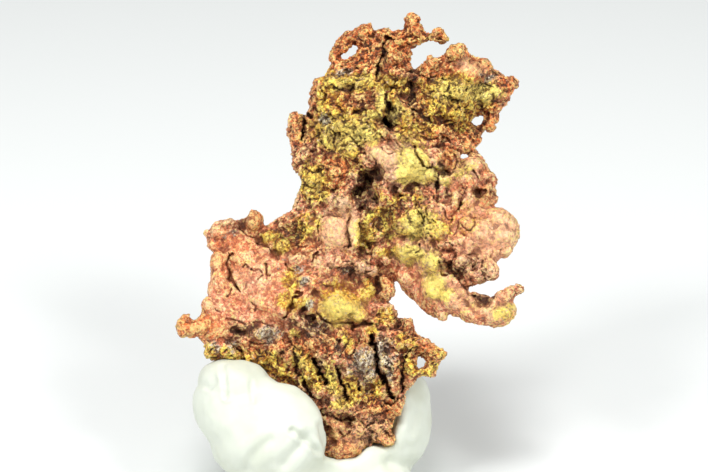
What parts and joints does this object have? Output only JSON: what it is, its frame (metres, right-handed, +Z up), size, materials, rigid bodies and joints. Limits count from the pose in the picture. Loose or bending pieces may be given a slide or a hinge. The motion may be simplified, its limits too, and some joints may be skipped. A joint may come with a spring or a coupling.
{
  "type": "native copper specimen",
  "caption": "Flat, branching, hackly native copper specimen that leans back, held upright in a pressed lump of white mounting putty with a flat underside.",
  "frame": {"origin": "on the flat underside of the putty, below the foot of the copper's back", "axes": "+Z up from the rest face; -Y is the front, where the copper's broad face looks; +X is the viewer's right"},
  "size_m": [0.0511, 0.0393, 0.0692],
  "materials": {
    "copper": "rough natural copper with olive, yellow, brown and grey tarnish",
    "putty": "smooth matte off-white mineral tack"
  },
  "bodies": {
    "root": {"native_copper": "copper", "mounting_putty": "putty"}
  },
  "joints": []
}
